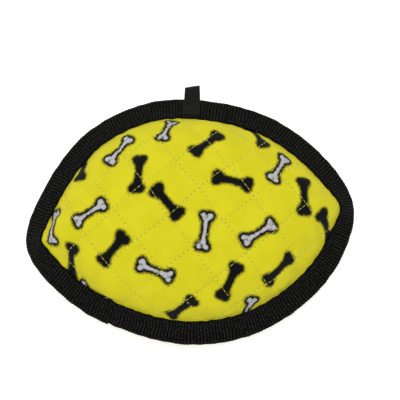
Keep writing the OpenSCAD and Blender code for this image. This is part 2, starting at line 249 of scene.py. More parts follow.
def webbing_material():
    """Black ribbed polyester webbing: fine warp yarns run over the woven ribs, whose crests carry a painted
    highlight.
    """
    material, tree, shader = new_material("black_webbing")
    plain_settings(shader, 0.65, specular=0.03)
    web = attribute(tree, "web", "Vector")
    parts = add(tree, "ShaderNodeSeparateXYZ", i0=web)
    yarn = math_node(tree, "SINE", math_node(tree, "MULTIPLY", parts.outputs[1], 2 * math.pi / 0.8))
    drawn_out = add(tree, "ShaderNodeVectorMath", {"operation": "MULTIPLY"}, i0=web, i1=(2.0, 0.5, 1.0))
    grain = noise(tree, drawn_out.outputs[0], 1.3, 3.0, 0.6)
    wear = noise(tree, web, 0.12, 2.0)
    rib = attribute(tree, "rib_height")
    # Rib crests are painted lighter than the grooves, broken up by the yarn grain: a painted highlight
    rib_highlight = math_node(tree, "MULTIPLY", ramp(tree, rib, 0.5, 1.0), ramp(tree, grain, 0.46, 0.70))
    colour = mix(tree, rib_highlight, (0.0008, 0.0008, 0.0007, 1), (0.066, 0.066, 0.062, 1))
    colour = mix(tree, ramp(tree, wear, 0.45, 0.75, 0.0, 0.5), colour, (0.0024, 0.0023, 0.0019, 1))
    height = math_node(tree, "MULTIPLY_ADD", yarn, 0.35, math_node(tree, "MULTIPLY", grain, 0.8))
    surface(tree, shader, colour, height, 0.00015)
    return material


def thread_material(name, dark, light, roughness=0.6, specular=0.3):
    """Twisted sewing thread."""
    material, tree, shader = new_material(name)
    plain_settings(shader, roughness, specular=specular)
    where = add(tree, "ShaderNodeTexCoord").outputs["Object"]
    ply = noise(tree, where, 2600.0, 2.0)
    surface(tree, shader, mix(tree, ramp(tree, ply, 0.35, 0.65), dark, light), ply, 0.0001)
    return material


def ribbon_material():
    """Smooth black satin ribbon with a fine cross weave and a firmer edge."""
    material, tree, shader = new_material("black_ribbon")
    plain_settings(shader, 0.42, specular=0.1)
    web = attribute(tree, "web", "Vector")
    parts = add(tree, "ShaderNodeSeparateXYZ", i0=web)
    weft = math_node(tree, "SINE", math_node(tree, "MULTIPLY", parts.outputs[0], 2 * math.pi / 0.5))
    warp = math_node(tree, "SINE", math_node(tree, "MULTIPLY", parts.outputs[1], 2 * math.pi / 0.35))
    grain = noise(tree, web, 1.5, 3.0, 0.6)
    colour = mix(tree, ramp(tree, grain, 0.35, 0.7), (0.0032, 0.0032, 0.003, 1), (0.0088, 0.0088, 0.0082, 1))
    height = math_node(tree, "MULTIPLY_ADD", weft, 0.5, math_node(tree, "MULTIPLY_ADD", warp, 0.3, grain))
    surface(tree, shader, colour, height, 0.00007)
    return material


def fibre_material(name, dark, light, scale):
    """Soft bonded fibres: matt, with tangled strands."""
    material, tree, shader = new_material(name)
    plain_settings(shader, 1.0, specular=0.05, sheen=0.3)
    where = attribute(tree, "cloth", "Vector")
    drawn_out = add(tree, "ShaderNodeVectorMath", {"operation": "MULTIPLY"}, i0=where, i1=(1, 5, 3))
    strand = noise(tree, drawn_out.outputs[0], scale, 4.0, 0.65)
    clump = noise(tree, where, scale / 3, 2.0)
    both = math_node(tree, "MULTIPLY_ADD", strand, 0.6, math_node(tree, "MULTIPLY", clump, 0.4))
    surface(tree, shader, mix(tree, ramp(tree, both, 0.35, 0.65), dark, light), both, 0.0008)
    return material


def woven_material(name, dark, light, pitch):
    """Plain-woven cloth with yarns crossing at the given pitch in millimetres."""
    material, tree, shader = new_material(name)
    plain_settings(shader, 0.85, specular=0.2, sheen=0.2)
    where = attribute(tree, "cloth", "Vector")
    parts = add(tree, "ShaderNodeSeparateXYZ", i0=where)
    waves = [math_node(tree, "MULTIPLY", parts.outputs[k], 2 * math.pi / pitch) for k in (0, 1)]
    warp, weft = (math_node(tree, "SINE", wave) for wave in waves)
    weave = math_node(tree, "MULTIPLY", warp, weft)
    slub = noise(tree, where, 0.8, 3.0, 0.6)
    both = math_node(tree, "MULTIPLY_ADD", weave, 0.25, slub)
    surface(tree, shader, mix(tree, ramp(tree, both, 0.25, 0.8), dark, light), both, 0.00015)
    return material


def plastic_material(name, colour, tint, roughness):
    """Moulded plastic with a faint mottle and fine moulding texture."""
    material, tree, shader = new_material(name)
    plain_settings(shader, roughness, specular=0.5)
    where = add(tree, "ShaderNodeTexCoord").outputs["Object"]
    mottle = noise(tree, where, 160.0, 3.0)
    mixed = mix(tree, ramp(tree, mottle, 0.3, 0.7), colour, tint)
    surface(tree, shader, mixed, noise(tree, where, 1500.0, 2.0), 0.00003)
    return material


# ---- the rim and the domes -----------------------------------------------------------------------

def curve_between(a, b, c, d, u):
    """The smooth curve through b and c, at share u of the way; a and d are the points before and after."""
    square, cube = 2 * a - 5 * b + 4 * c - d, 3 * b - a - 3 * c + d
    return 0.5 * (2 * b + (c - a) * u + square * u ** 2 + cube * u ** 3)


def rim(t):
    """Points on the smooth closed curve through the rim points; t counts points round the rim."""
    t = np.asarray(t, float)
    i = np.floor(t).astype(int)
    u = (t - i)[..., None]
    a, b, c, d = (RIM[(i + k) % len(RIM)] for k in (-1, 0, 1, 2))
    return curve_between(a, b, c, d, u)


def outward(t):
    d = rim(np.asarray(t) + 0.02) - rim(np.asarray(t) - 0.02)
    d /= np.linalg.norm(d, axis=-1, keepdims=True)
    return np.stack([d[..., 1], -d[..., 0]], -1)


def cant(t):
    return np.radians(SIDE_CANT + (TIP_CANT - SIDE_CANT) * np.abs(outward(t)[..., 0]) ** 8)


def edge_shift(t):
    """How much further in than even the binding reaches: least at the right tip and the lower left."""
    t = np.asarray(t, float) % len(RIM)
    from_tip = np.minimum(t, len(RIM) - t)
    slow = 1.5 - 2.5 * np.exp(-(from_tip / 0.4) ** 2) - 1.2 * np.exp(-(t - 9) ** 2)
    turn = 2 * math.pi * t / len(RIM)
    ripple = np.sin(47 * turn + 1) + np.sin(61 * turn + 4) + np.sin(83 * turn) * np.sin(5 * turn)
    return slow + 0.14 * ripple


def rim_section(t, along, up):
    """Points in the rim's cross-section.

    Along runs outwards from the binding's inner edge, and up is square to the binding.
    """
    n, c = outward(t), cant(t)
    reach = along * np.cos(c) + up * np.sin(c) - BINDING_FACE * np.cos(c)
    xy = rim(t) + n * reach[..., None]
    return np.concatenate([xy, (SEAM_Z - along * np.sin(c) + up * np.cos(c))[..., None]], -1)


def panel_point(t, share, side, depth, half):
    """Points on a panel's surface, share of the way from the centre to where the panel meets the rim."""
    n, c = outward(t), cant(t)
    reach = BINDING_FACE * np.cos(c) - side * half * np.sin(c) + TURN_IN + depth + edge_shift(t) * np.cos(c)
    foot = rim(t) - n * reach[..., None]
    low = half * np.cos(c) + RISE_STEP + side * edge_shift(t) * np.sin(c)
    dome = (1 - share ** DOME_FULLNESS) ** DOME_EDGE
    rise = np.minimum(low + (DOME_HEIGHT - depth - low) * dome, SEAM_Z - depth)
    return np.concatenate([foot * share[..., None], (SEAM_Z + side * rise)[..., None]], -1)


def wavy(u, v, waves):
    """Smooth random field: a sum of sine waves, each (wavelength, height, direction, phase)."""
    total = np.zeros(np.broadcast(u, v).shape)
    for length, height, direction, phase in waves:
        along = u * math.cos(direction) + v * math.sin(direction)
        total += height * np.sin(2 * math.pi * along / length + phase)
    return total


def random_waves(seed, lengths, height):
    """Sine waves of the given lengths in random directions."""
    draw = np.random.default_rng(seed)
    return [(length, height, draw.uniform(0, math.pi), draw.uniform(0, 2 * math.pi)) for length in lengths]


def cos_sin(degrees):
    return math.cos(math.radians(degrees)), math.sin(math.radians(degrees))


def length_along(line):
    """How far each point of a line lies along it from the first."""
    return np.concatenate([[0], np.cumsum(np.linalg.norm(np.diff(line, axis=0), axis=1))])


LUMP_LENGTHS, LUMP_HEIGHT = (44, 52, 61, 75, 90), 0.32
LUMPS = {
    FRONT: random_waves(3, LUMP_LENGTHS, LUMP_HEIGHT),
    BACK: random_waves(8, LUMP_LENGTHS, LUMP_HEIGHT),
}
WANDER = random_waves(5, (36, 48, 63), 0.35)


def rows_on(cloth):
    """For both families of quilting rows: distance to the nearest row and place along it."""
    x, y = cloth[..., 0], cloth[..., 1]
    out = {}
    for name, angle, shift in QUILT_ROWS:
        c, s = cos_sin(angle)
        across = -s * x + c * y - shift + wavy(x, y, WANDER)
        out[name + "_away"] = np.abs(across - QUILT_PITCH * np.round(across / QUILT_PITCH))
        out[name + "_along"] = c * x + s * y
    return out


def smooth_step(x, low, high):
    u = np.clip((x - low) / (high - low), 0, 1)
    return u * u * (3 - 2 * u)


def grid_normals(grid, side):
    around = np.roll(grid, -1, axis=1) - np.roll(grid, 1, axis=1)
    n = np.cross(np.gradient(grid, axis=0), around) * side
    n /= np.maximum(np.linalg.norm(n, axis=-1, keepdims=True), 1e-9)
    n[0] = (0, 0, side)
    return n


def level_grid(side, level, stations, rings, flange=CUT_EDGE):
    """A layer's plain surface as rings by stations, evenly spaced from the middle to the cut edge."""
    depth, half = level
    t = np.arange(stations) * len(RIM) / stations
    share = 1 - (1 - np.linspace(0, 1, 160)) ** 2
    path = panel_point(t[None, :], share[:, None] + 0 * t, side, depth, half)
    if flange:
        under = np.linspace(0, 1, 12)[:, None]
        tucked = flange * under - edge_shift(t) * (1 - under)
        path = np.concatenate([path, rim_section(t + 0 * under, tucked, side * half)])
    steps = np.linalg.norm(np.diff(path, axis=0), axis=-1)
    arc = np.concatenate([np.zeros((1, stations)), np.cumsum(steps, axis=0)])
    at = np.linspace(0, 1, rings + 1)
    grid = np.empty((rings + 1, stations, 3))
    for i in range(stations):
        for k in range(3):
            grid[:, i, k] = np.interp(at * arc[-1, i], arc[:, i], path[:, i, k])
    for _ in range(max(1, rings // 24)):
        grid[1:-1] = (grid[:-2] + 2 * grid[1:-1] + grid[2:]) / 4
    return grid, arc[-1], arc[len(share) - 1]


def around_least(field, reach):
    """The least value of a polar field within reach rings and stations of each point."""
    out = field.copy()
    for step in range(1, reach + 1):
        out = np.minimum(out, np.minimum(np.roll(field, step, 1), np.roll(field, -step, 1)))
    wide = out.copy()
    for step in range(1, reach + 1):
        wide[step:] = np.minimum(wide[step:], out[:-step])
        wide[:-step] = np.minimum(wide[:-step], out[step:])
    return wide


class Panel:
    """A quilted panel's surface as rings by stations, with each point's place on the flat cloth."""

    def __init__(self, side, stations=432, rings=120):
        self.side, self.stations, self.rings = side, stations, rings
        self.t = np.arange(stations) * len(RIM) / stations
        self.grid, self.total, self.edge = level_grid(side, FLEECE_OUT, stations, rings)
        self.arc = np.linspace(0, 1, rings + 1)[:, None] * self.total
        foot = panel_point(self.t, np.ones(stations), side, *FLEECE_OUT)
        self.angle = np.unwrap(np.arctan2(foot[:, 1], foot[:, 0]))
        self.cloth = np.stack([np.cos(self.angle) * self.arc, np.sin(self.angle) * self.arc], -1)
        self.height = self.relief()
        self.grid = self.grid + grid_normals(self.grid, side) * self.height[..., None]
        self.normals = grid_normals(self.grid, side)

    def relief(self):
        """How far the cloth stands out from the plain dome: cushions, rows pulled in, gathers at the rim."""
        rows = rows_on(self.cloth)
        rise, fall = rows["rise_away"], rows["fall_away"]
        cushion = 0.9 * (1 - np.exp(-(rise / 8) ** 2)) * (1 - np.exp(-(fall / 8) ** 2)) - 0.4
        pulled = -0.35 * np.exp(-(rise / 1.8) ** 2) - 0.35 * np.exp(-(fall / 1.8) ** 2)
        x, y = self.cloth[..., 0], self.cloth[..., 1]
        lumps = wavy(x, y, LUMPS[self.side])
        inside = self.edge - self.arc
        turn = 2 * math.pi * self.t / len(RIM)
        draw = np.random.default_rng(21 + self.side)
        gathers = sum(np.sin(k * turn + draw.uniform(0, 2 * math.pi)) for k in (37, 46, 55, 63, 71)) / 5
        gathers = gathers * np.exp(-np.maximum(inside, 0) / 8)
        free = smooth_step(inside, 0, 4)
        settled = smooth_step(self.arc / self.total, 0.24, 0.36) if self.side == BACK else 1.0
        return (cushion + pulled + lumps + gathers) * free * settled

    def level(self, level, share, stations, rings):
        """A deeper level that follows a share of the relief and stays below its dips."""
        grid = level_grid(self.side, level, stations, rings)[0]
        low = around_least(self.height, 2)
        field = low[::self.rings // rings, ::self.stations // stations] * share
        return grid + grid_normals(grid, self.side) * field[..., None]

    def spot(self, cloth):
        """Position and outward normal of points of the flat cloth, and how far inside the binding."""
        start = self.angle[0]
        angle = start + (np.arctan2(cloth[:, 1], cloth[:, 0]) - start) % (2 * math.pi)
        s = np.interp(angle, np.append(self.angle, start + 2 * math.pi), np.arange(self.stations + 1))
        i = np.floor(s).astype(int) % self.stations
        j, u = (i + 1) % self.stations, s - np.floor(s)
        length = np.linalg.norm(cloth, axis=1)
        total = self.total[i] * (1 - u) + self.total[j] * u
        edge = self.edge[i] * (1 - u) + self.edge[j] * u
        r = np.clip(length / total * self.rings, 0, self.rings - 1e-6)
        a = np.floor(r).astype(int)
        v, u = (r - a)[:, None], u[:, None]

        def between(field):
            low = field[a, i] * (1 - u) + field[a, j] * u
            return low * (1 - v) + (field[a + 1, i] * (1 - u) + field[a + 1, j] * u) * v

        n = between(self.normals)
        return between(self.grid), n / np.linalg.norm(n, axis=1, keepdims=True), edge - length


def layer_piece(name, outer, inner, side, material, fields=None):
    """A closed sheet between two polar grids with the same stations; fields are given on the outer grid."""
    rings, columns = len(outer) - 1, outer.shape[1]
    back_rings = len(inner) - 1
    points = np.concatenate([
        outer[:1, 0], outer[1:].reshape(-1, 3), inner[:0:-1].reshape(-1, 3), inner[:1, 0]])
    flip = side == BACK
    faces = [*fan_faces(0, 1, columns, not flip), *ring_faces(rings + back_rings, columns, 1, not flip),
             *fan_faces(len(points) - 1, len(points) - 1 - columns, columns, flip)]
    layers = {}
    keep = np.round(np.linspace(0, rings, back_rings + 1)).astype(int)
    for key, field in (fields or {}).items():
        rest = field.shape[2:]
        layers[key] = np.concatenate([field[:1, 0], field[1:].reshape((-1,) + rest),
                                      field[keep[:0:-1]].reshape((-1,) + rest), field[:1, 0]])
    return mesh_piece(name, points, faces, material, layers)


# ---- the bone print ------------------------------------------------------------------------------

BONE_HALF, BONE_KNOB, BONE_SPREAD, BONE_SHAFT, BONE_FLARE, BONE_FILLET = 15.5, 3.4, 2.6, 2.7, 0.011, 2.9


def smooth_min(a, b, k):
    h = np.clip(0.5 + 0.5 * (b - a) / k, 0, 1)
    return b * (1 - h) + a * h - k * h * (1 - h)


def bone_print(cloth, turn_round):
    """Signed distance to the nearest printed bone, and whether that bone is white."""
    x, y = (-cloth[..., 0], -cloth[..., 1]) if turn_round else (cloth[..., 0], cloth[..., 1])
    nearest = np.full(x.shape, 99.0)
    white = np.zeros(x.shape)
    draw = np.random.default_rng(12)
    for bx, by, angle, kind in BONES:
        c, s = cos_sin(angle)
        u, v = (x - bx) * c + (y - by) * s, -(x - bx) * s + (y - by) * c
        sizes = draw.uniform(-0.3, 0.3, 4)
        bend = draw.uniform(-0.6, 0.6)
        v = v - bend * (1 - (u / BONE_HALF) ** 2)
        knob_r, shaft_r = BONE_KNOB + 0.4 * kind, BONE_SHAFT + 0.3 * kind
        end = BONE_HALF - knob_r
        shaft = np.maximum(np.abs(v) - shaft_r - BONE_FLARE * u * u, np.abs(u) - end)
        d = shaft
        for size, su, sv in zip(sizes, (1, 1, -1, -1), (1, -1, 1, -1)):
            knob = np.hypot(u - su * end, v - sv * BONE_SPREAD) - knob_r - size
            d = smooth_min(d, knob, BONE_FILLET)
        white = np.where(d < nearest, kind, white)
        nearest = np.minimum(nearest, d)
    return nearest, white


# ---- stitches ------------------------------------------------------------------------------------

def stitches_piece(name, starts, ends, normals, radius, lift, material, sides=6, beads=7):
    """Short arched threads from start to end, each rising over the cloth and dipping at both ends."""
    count = len(starts)
    v = np.linspace(0, 1, beads)
    arch = np.sin(math.pi * v) ** 0.6 * lift - 0.25 * (1 - np.sin(math.pi * v) ** 0.6)
    line = starts[:, None] * (1 - v)[None, :, None] + ends[:, None] * v[None, :, None]
    line = line + normals[:, None] * arch[None, :, None]
    along = ends - starts
    along /= np.linalg.norm(along, axis=1, keepdims=True)
    across = np.cross(normals, along)
    across /= np.linalg.norm(across, axis=1, keepdims=True)
    up = np.cross(along, across)
    turn = np.arange(sides) * 2 * math.pi / sides
    thick = radius * np.sqrt(np.clip(1 - (2 * v - 1) ** 8, 0.12, 1))
    ring = (across[:, None, None] * np.cos(turn)[None, None, :, None]
            + up[:, None, None] * np.sin(turn)[None, None, :, None]) * thick[None, :, None, None]
    points = (line[:, :, None] + ring).reshape(-1, 3)
    faces = []
    one = ring_faces(beads, sides)
    cap = list(range(sides))
    for k in range(count):
        base = k * beads * sides
        faces += (one + base).tolist()
        faces.append([base + c for c in cap[::-1]])
        faces.append([base + (beads - 1) * sides + c for c in cap])
    return mesh_piece(name, points, faces, material)


def quilting_stitches(name, panel, material):
    """One stitch between each two needle holes, along every row of both families."""
    holes_from, holes_to = [], []
    inset = (STITCH_PITCH - STITCH) / 2
    for _, angle, shift in QUILT_ROWS:
        c, s = cos_sin(angle)
        for row in range(-4, 4):
            across = shift + row * QUILT_PITCH
            first = (np.arange(-40, 40) + 0.5) * STITCH_PITCH
            for at, out in ((first + inset, holes_from), (first + STITCH_PITCH - inset, holes_to)):
                drift = 0
                for step in range(4):
                    p = np.stack([c * at - s * (across - drift), s * at + c * (across - drift)], 1)
                    drift = wavy(p[:, 0], p[:, 1], WANDER)
                out.append(p)
    starts, ends = np.concatenate(holes_from), np.concatenate(holes_to)
    start_at, n0, inside0 = panel.spot(starts)
    end_at, n1, inside1 = panel.spot(ends)
    keep = (inside0 > 0.5) & (inside1 > 0.5)
    return stitches_piece(name, start_at[keep], end_at[keep], (n0 + n1)[keep] / 2, 0.19, 0.08, material)


# ---- the front and back panels -------------------------------------------------------------------

fleece = fleece_material()
quilt_thread = thread_material("quilting_thread", (0.64, 0.60, 0.075, 1), (0.76, 0.715, 0.18, 1), 0.7, 0.15)
wadding = fibre_material("wadding", (0.72, 0.72, 0.70, 1), (0.86, 0.86, 0.84, 1), 0.35)
backing = woven_material("backing_cloth", (0.60, 0.60, 0.58, 1), (0.78, 0.78, 0.76, 1), 0.9)
filling = fibre_material("fibre_filling", (0.78, 0.78, 0.78, 1), (0.92, 0.92, 0.92, 1), 0.16)
pocket_cloth = woven_material("pocket_cloth", (0.55, 0.55, 0.54, 1), (0.72, 0.72, 0.71, 1), 0.7)
seam_thread = thread_material("seam_thread", (0.62, 0.62, 0.60, 1), (0.85, 0.85, 0.83, 1))
SIDES = ((FRONT, "front"), (BACK, "back"))
# The front's pieces are left off the toy's body, with their placement baked into their meshes
POCKET_R, POCKET_FLANGE_R, POCKET_SEAM_R, POCKET_HEIGHT, POCKET_CLOTH = 19, 26, 23.5, 12.6, 0.6
POCKET_OUT_R, POCKET_TOP = POCKET_R + POCKET_CLOTH, POCKET_HEIGHT + POCKET_CLOTH
# One pocket half's cross-section: radius, and height above the seam
POCKET_CUP = [
    (POCKET_FLANGE_R, GAP), (POCKET_FLANGE_R, GAP + POCKET_CLOTH), (POCKET_OUT_R, GAP + POCKET_CLOTH),
    (POCKET_OUT_R, POCKET_TOP), (0, POCKET_TOP), (0, POCKET_HEIGHT), (POCKET_R, POCKET_HEIGHT),
    (POCKET_R, GAP),
]


def attach(piece, node, gives_way=False):
    """Puts a soft piece on the toy in place of its CAD node; with gives_way it is left off the toy's body,
    its placement baked in.
    """
    if gives_way:
        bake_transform(piece)
    else:
        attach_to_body(piece, "toy")
    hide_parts(node)


def fill_piece(name, side, outer):
    """Half of the filling: fluffy over the dome, flat at the parting, hollow for the squeaker's pocket."""
    columns = outer.shape[1]
    turn = np.arctan2(outer[-1, :, 1], outer[-1, :, 0])
    ring = np.stack([np.cos(turn), np.sin(turn)], -1)
    cloth = POCKET_CLOTH + 0.15
    foot = np.linalg.norm(outer[-1, :, :2], axis=1)
    profile = [(foot * (1 - k / 8) + (POCKET_FLANGE_R + 0.05) * k / 8, 0.15 + 0 * foot) for k in range(9)]
    for r, z in ((POCKET_FLANGE_R + 0.05, cloth + 0.5), (POCKET_R + cloth, cloth + 0.5),
                 (POCKET_R + cloth, POCKET_HEIGHT / 2), (POCKET_R + cloth, POCKET_HEIGHT + cloth),
                 (9, POCKET_HEIGHT + cloth), (0, POCKET_HEIGHT + cloth)):
        profile.append((r + 0 * foot, z + 0 * foot))
    under = np.stack([
        np.concatenate([ring * r[:, None], (SEAM_Z + side * z)[:, None]], -1) for r, z in profile[::-1]])
    x, y = outer[..., 0], outer[..., 1]
    fluff = np.abs(wavy(x, y, random_waves(40 + side, (7, 9, 12, 17), 0.12)))
    outer = outer - grid_normals(outer, side) * fluff[..., None]
    outer[0] = outer[0].mean(0)
    return layer_piece(name, outer, under, side, filling, {"cloth": outer})


def revolved_piece(name, profile, side, material, ripple, columns=144):
    """A cup revolved round the Z axis from (radius, height above the seam) pairs, slightly gathered."""
    fine = []
    for (r0, z0), (r1, z1) in zip(profile, profile[1:] + profile[:1]):
        count = max(1, round(math.hypot(r1 - r0, z1 - z0) / 2.5))
        fine += [(r0 + (r1 - r0) * k / count, z0 + (z1 - z0) * k / count) for k in range(count)]
    fine = np.array(fine)
    turn = np.arange(columns) * 2 * math.pi / columns
    wave = ripple * (0.5 + 0.5 * np.sin(23 * turn) * np.cos(9 * turn + 1))
    r = np.maximum(fine[:, :1] - wave * smooth_step(fine[:, :1], 12, 18) * (fine[:, :1] < POCKET_R + 1), 0)
    points = np.stack([r * np.cos(turn), r * np.sin(turn), SEAM_Z + side * (fine[:, 1:] + 0 * turn)], -1)
    faces = tube_faces(len(fine), columns, side == BACK)
    place = np.stack([r * turn, fine[:, 1:] + r, 0 * r], -1)
    piece = mesh_piece(name, points.reshape(-1, 3), faces, material, {"cloth": place.reshape(-1, 3)})
    mesh = bmesh.new()
    mesh.from_mesh(piece.data)
    bmesh.ops.remove_doubles(mesh, verts=mesh.verts, dist=1e-6)
    bmesh.ops.recalc_face_normals(mesh, faces=mesh.faces)
    mesh.to_mesh(piece.data)
    mesh.free()
    return piece


panels = {}
for side, word in SIDES:
    panel = Panel(side)
    panels[side] = panel
    distance, white = bone_print(panel.cloth, side == BACK)
    flat_place = np.concatenate([panel.cloth, 0 * panel.cloth[..., :1]], -1)
    fields = {"cloth": flat_place, "print_distance": distance, "print_white": white, **rows_on(panel.cloth)}
    under = panel.level(FLEECE_IN, 1.0, 432, 24)
    piece = layer_piece(word + "_panel_fleece", panel.grid, under, side, fleece, fields)
    attach(piece, word + "_fleece", side == FRONT)
    coarse = {"cloth": flat_place[::5, ::2]}
    piece = layer_piece(word + "_panel_wadding", panel.level(WADDING_OUT, 1.0, 216, 24),
                        panel.level(WADDING_IN, 0.5, 216, 24), side, wadding, coarse)
    attach(piece, word + "_padding", side == FRONT)
    piece = layer_piece(word + "_panel_backing", panel.level(BACKING_OUT, 0.5, 216, 24),
                        panel.level(BACKING_IN, 0.5, 216, 24), side, backing, coarse)
    attach(piece, word + "_backing", side == FRONT)
    dome = level_grid(side, (FILL_DEPTH, 0), 216, 40, 0)[0]
    piece = fill_piece(word + "_filling", side, dome)
    attach(piece, "fill_" + word, side == FRONT)
    piece = quilting_stitches(word + "_quilting_stitches", panel, quilt_thread)
    attach(piece, word + "_quilting_thread", side == FRONT)
    piece = revolved_piece(word + "_squeaker_pocket", POCKET_CUP, side, pocket_cloth, 0.5)
    attach(piece, "squeaker_pocket_" + word, side == FRONT)


# ---- the binding ---------------------------------------------------------------------------------

RIB_PITCH, RIB_SAMPLES, RIB_HEIGHT = 2.6, 10, 0.32
# Where the webbing's end laps over its start, how far, and how soon it rises, counted in rim points
OVERLAP_AT, OVERLAP, LAP_RISE = 8.37, 0.35, 0.12


def rim_by_length(count, first, span):
    """count places along the rim, evenly spaced by length, from first over span rim points."""
    fine = first + np.linspace(0, span, 4000)
    length = length_along(rim(fine))
    at = np.linspace(0, length[-1], count)
    return np.interp(at, length, fine), at


RIM_LENGTH = rim_by_length(2, 0, len(RIM))[1][-1]


def rim_stitches(count, along_at, up, side):
    """Starts, ends and normals of count stitches round the rim; along_at gives their place at each t."""
    t = rim_by_length(count + 1, 0, len(RIM))[0][:-1]
    step = np.diff(np.append(t, len(RIM)))
    along, up = along_at(t), up + 0 * t
    first, last = (rim_section(t + share * step, along, up) for share in (0.1, 0.9))
    middle = t + 0.5 * step
    return first, last, rim_section(middle, along, up + side) - rim_section(middle, along, up)


def webbing_profile():
    """Outer and inner surface of the folded strip, in the rim's cross-section."""
    face = np.linspace(0, FOLD_AT, 10)
    bend = np.radians(np.linspace(90, -90, 9))[1:-1]
    outer = [(a, FOLD_R) for a in face]
    outer += [(FOLD_AT + FOLD_R * math.cos(a), FOLD_R * math.sin(a)) for a in bend]
    outer += [(a, -FOLD_R) for a in face[::-1]]
    r = FOLD_R - WEBBING
    half_way = FOLD_AT / 2
    inner = [(0, -r), (half_way, -r), (FOLD_AT, -r), (FOLD_AT + r, 0), (FOLD_AT, r), (half_way, r), (0, r)]
    return np.array(outer), np.array(inner)


def edge_binding():
    ribs = round(RIM_LENGTH * (1 + OVERLAP / len(RIM)) / RIB_PITCH)
    count = ribs * RIB_SAMPLES + 1
    t, at = rim_by_length(count, OVERLAP_AT, len(RIM) + OVERLAP)
    outer, inner = webbing_profile()
    profile = np.concatenate([outer, inner])
    is_outer = np.arange(len(profile)) < len(outer)
    along, up = profile[:, 0] + 0 * t[:, None], profile[:, 1] + 0 * t[:, None]
    turn = 2 * math.pi * t[:, None] / len(RIM)
    draw = np.random.default_rng(31)
    wobble = sum(np.sin(k * turn + draw.uniform(0, 6.28)) for k in (23, 37, 53, 71)) / 4
    # square to the webbing's surface: straight up or down on the faces, outwards round the fold
    bent = along > FOLD_AT
    square = np.where(bent, (along - FOLD_AT) / FOLD_R, 0), np.where(bent, up / FOLD_R, np.sign(up))
    phase = (at[:, None] + 0.35 * wobble + 0.25 * np.sin(0.55 * along + 9 * turn)) / RIB_PITCH * math.pi
    rib = np.abs(np.sin(phase)) ** 0.7
    lap = smooth_step(t, OVERLAP_AT + len(RIM) - LAP_RISE, OVERLAP_AT + len(RIM))[:, None]
    seam_pull = sum(0.22 * np.exp(-((along - row) / 0.9) ** 2) for row in (INNER_ROW, OUTER_ROW))
    pucker = sum(np.sin(k * turn + draw.uniform(0, 6.28) + up * 0.8) for k in (31, 43, 59, 77)) / 4
    lift = RIB_HEIGHT * (rib - 0.6) - seam_pull + 0.3 * pucker * np.exp(-along / 7)
    start = smooth_step(t, OVERLAP_AT + OVERLAP + 0.1, OVERLAP_AT + OVERLAP)[:, None]
    lift = np.where(is_outer, lift - 0.5 * start, 0) + lap * 0.7
    bead = np.where(is_outer & (along < 0.5), 0.12 * np.cos(2 * phase), 0)
    inward = np.clip(1 - along / FOLD_AT, 0, 1)
    along = along - edge_shift(t)[:, None] * inward + 0.35 * wobble * (1 - inward)
    along, up = along + square[0] * lift - bead * 0.8, up + square[1] * lift
    points = rim_section(t[:, None] + 0 * along, along, up)
    columns = len(profile)
    faces = ring_faces(count, columns, 0, True).tolist()
    faces += [list(range(columns)), list(range(count * columns - 1, (count - 1) * columns - 1, -1))]
    place = np.stack([at[:, None] + 0 * along, length_along(profile) + 0 * along, 0 * along], -1)
    heights = np.where(is_outer, rib, 0).ravel()
    return mesh_piece("webbing_binding", points.reshape(-1, 3), faces, webbing_material(),
                      {"web": place.reshape(-1, 3), "rib_height": heights})


binding = edge_binding()
attach(binding, "edge_binding")

BINDING_STITCH = 3.4
black_thread = thread_material("black_thread", (0.002, 0.002, 0.0025, 1), (0.016, 0.016, 0.018, 1), 0.6, 0.1)


def binding_stitches(name, row):
    """One row of stitches round the rim, seen on both faces of the binding."""
    def along(t):
        return row - edge_shift(t) * (1 - row / FOLD_AT)

    count = round(RIM_LENGTH / BINDING_STITCH)
    faces = [rim_stitches(count, along, side * (FOLD_R + 0.02), side) for side, _ in SIDES]
    starts, ends, normals = (np.concatenate(part) for part in zip(*faces))
    return stitches_piece(name, starts, ends, normals, 0.24, 0.12, black_thread)


for name, node, row in (("binding_inner_stitches", "binding_inner_stitching", INNER_ROW),
                        ("binding_outer_stitches", "binding_outer_stitching", OUTER_ROW)):
    attach(binding_stitches(name, row), node)


# ---- the hang loop -------------------------------------------------------------------------------

RIBBON_WIDTH, RIBBON = 12.5, 0.7
LOOP_AT, LOOP_R, LOOP_REACH, LOOP_LIFT = 3.28, 3.6, 12, 18
LEG_END, LEG_LENGTH, LEG_LIFT = -2.2, 12.5, 0.15
LOOP_SLANT, LOOP_TAPER = 0.27, 0.08


def loop_frame():
    """The fold's centre under the ribbon, and the ways along the rim, outwards and square to the binding."""
    t = np.array(LOOP_AT)
    centre = rim_section(t, np.array(FOLD_AT), np.array(0.0))
    out = rim_section(t, np.array(FOLD_AT + 1), np.array(0.0)) - centre
    up = rim_section(t, np.array(FOLD_AT), np.array(1.0)) - centre
    return centre, np.cross(out, up), out, up


def ribbon_line():
    """The ribbon's middle in its cross-section: sewn leg, free side, bend, and back again."""
    y = FOLD_R + LEG_LIFT + RIBBON / 2
    half = LOOP_R - RIBBON / 2
    bend_at = FOLD_R + LOOP_REACH - LOOP_R
    c, s = cos_sin(LOOP_LIFT)
    free = [(1.6, y), (4, half), (7.5, half + 0.1), (bend_at, half)]
    free += [(bend_at + half * math.cos(a), half * math.sin(a)) for a in np.radians((60, 30, 0, -30, -60))]
    free += [(bend_at, -half), (7.5, -half - 0.1), (4, -half), (1.6, -y)]
    free = [(x * c - z * s, x * s + z * c) for x, z in free]
    legs = [(LEG_END - LEG_LENGTH * (1 - k / 3), y) for k in range(4)]
    line = np.array(legs + free + [(x, -z) for x, z in legs[::-1]])
    fine = []
    for i in range(len(line) - 1):
        a, b, c, d = (line[min(max(i + k, 0), len(line) - 1)] for k in (-1, 0, 1, 2))
        for u in np.arange(8) / 8:
            fine.append(curve_between(a, b, c, d, u))
    return np.array(fine + [line[-1]])


